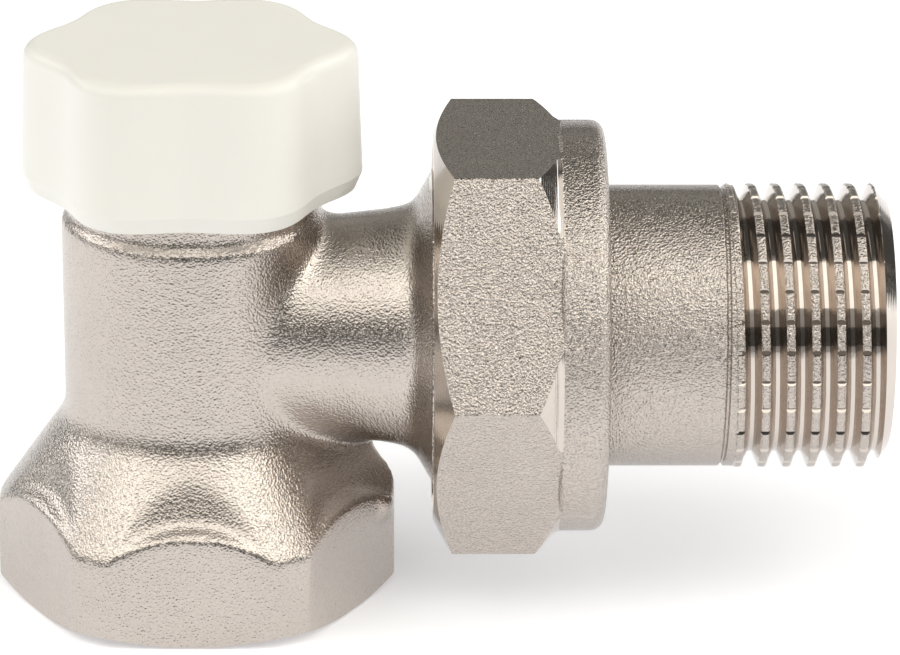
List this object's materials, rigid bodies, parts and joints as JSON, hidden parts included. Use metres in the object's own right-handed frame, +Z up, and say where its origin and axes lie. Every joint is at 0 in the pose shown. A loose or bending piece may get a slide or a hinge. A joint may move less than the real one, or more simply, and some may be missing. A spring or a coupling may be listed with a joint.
{
  "type": "lockshield valve",
  "caption": "Angle lockshield radiator valve with a hexagon inlet socket, regulating spindle under a screw cap, and a union nut with a threaded tail.",
  "frame": {"origin": "centre of the inlet end face, on the axis of the barrel", "axes": "+Z up the barrel towards the cap, +X along the branch towards the end of the tail"},
  "size_m": [0.0658, 0.034, 0.042],
  "materials": {
    "satin_nickel": "blasted, nickel plated",
    "raw_brass": "machined",
    "white_plastic": "moulded, satin",
    "black_rubber": "moulded",
    "white_fluoropolymer": "skived",
    "spring_steel": "bright"
  },
  "bodies": {
    "valve": {"valve_body": "satin_nickel", "bonnet": "raw_brass", "bonnet_seal": "black_rubber", "spindle_seal_lower": "black_rubber", "seal_spacer": "white_fluoropolymer", "spindle_seal_upper": "black_rubber", "gland_washer": "raw_brass", "gland_nut": "raw_brass"},
    "cap_gasket": {"cap_seal": "black_rubber"},
    "cap": {"protective_cap": "white_plastic"},
    "disc": {"disc_holder": "raw_brass", "disc_snap_ring": "spring_steel", "seat_washer": "black_rubber", "washer_screw": "spring_steel"},
    "spindle": {"spindle": "raw_brass"},
    "tail": {"union_tail": "satin_nickel", "tail_seal": "black_rubber"},
    "nut": {"union_nut": "satin_nickel"}
  },
  "joints": [
    {"name": "cap_lift", "type": "slide", "parent": "valve", "child": "cap_gasket", "axis": [0, 0, 1], "range_m": [0, 0.0045]},
    {"name": "cap_turn", "type": "hinge", "parent": "cap_gasket", "child": "cap", "pos_m": [0, 0, 0.0365], "axis": [0, 0, 1], "range_deg": [0, 1080]},
    {"name": "disc_lift", "type": "slide", "parent": "valve", "child": "disc", "axis": [0, 0, 1], "range_m": [0, 0.003]},
    {"name": "spindle_turn", "type": "hinge", "parent": "disc", "child": "spindle", "pos_m": [0, 0, 0.0275], "axis": [0, 0, 1], "range_deg": [0, 1080]},
    {"name": "tail_withdraw", "type": "slide", "parent": "valve", "child": "tail", "axis": [1, 0, 0], "range_m": [0, 0.00726]},
    {"name": "nut_turn", "type": "hinge", "parent": "tail", "child": "nut", "pos_m": [0.024, 0, 0.02], "axis": [1, 0, 0], "range_deg": [0, 1440]}
  ],
  "couplings": [
    {"joint": "cap_lift", "follows": "cap_turn", "m_per_rad": 0.00023873},
    {"joint": "disc_lift", "follows": "spindle_turn", "m_per_rad": 0.00015915},
    {"joint": "tail_withdraw", "follows": "nut_turn", "m_per_rad": 0.0002887}
  ]
}
